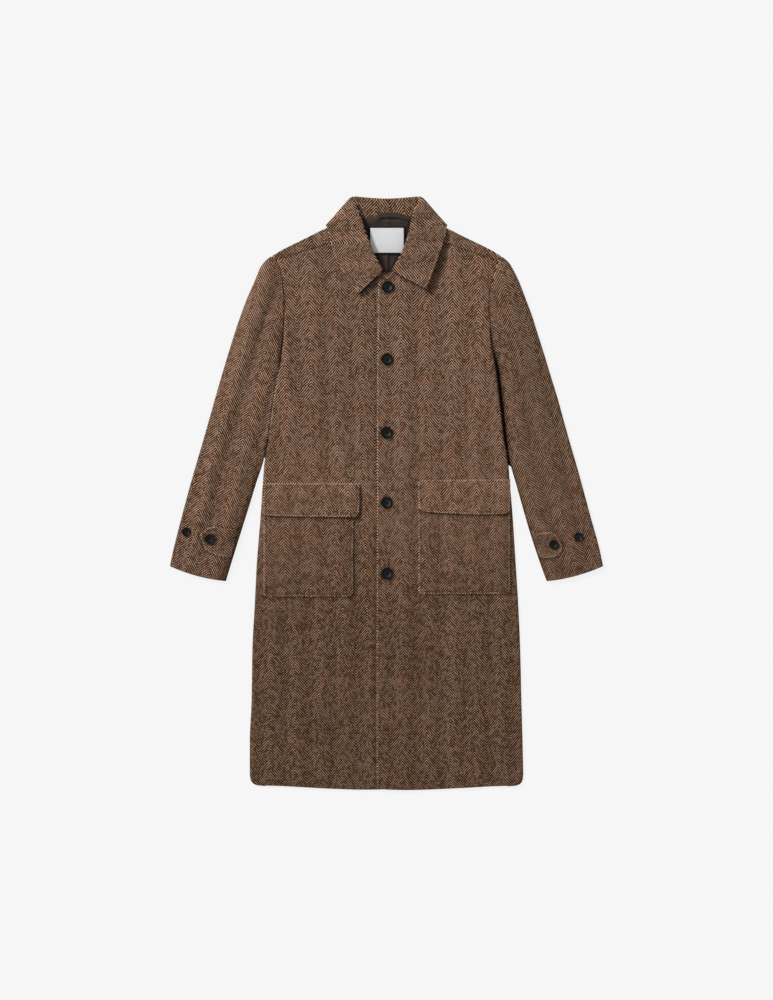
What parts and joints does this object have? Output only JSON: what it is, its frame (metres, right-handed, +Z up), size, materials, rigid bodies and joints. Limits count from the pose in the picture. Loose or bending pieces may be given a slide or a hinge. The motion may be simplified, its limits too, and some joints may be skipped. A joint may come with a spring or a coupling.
{
  "type": "herringbone wool coat laid flat",
  "caption": "Knee-length single-breasted herringbone wool coat with a turn-down collar, flap patch pockets and cuff tabs, buttoned up and laid flat on its back.",
  "frame": {"origin": "middle of the coat's outline, on the surface it lies on", "axes": "+Y along the coat toward the collar, +X toward the wearer's left, +Z up out of the front"},
  "size_m": [0.866, 1.1854, 0.0255],
  "materials": {
    "wool": "napped herringbone twill",
    "lining": "satin",
    "label": "woven tape",
    "button": "polished, worn"
  },
  "bodies": {
    "root": {"back": "wool", "front_right": "wool", "front_left": "wool", "sleeve_right": "wool", "sleeve_left": "wool", "collar": "wool", "pocket_right": "wool", "pocket_left": "wool", "flap_right": "wool", "flap_left": "wool", "tab_right": "wool", "tab_left": "wool", "lining": "lining", "hanger_loop": "lining", "neck_label": "label", "button_front_1": "button", "button_front_2": "button", "button_front_3": "button", "button_front_4": "button", "button_front_5": "button", "button_tab_right": "button", "button_cuff_right": "button", "button_tab_left": "button", "button_cuff_left": "button"}
  },
  "joints": []
}
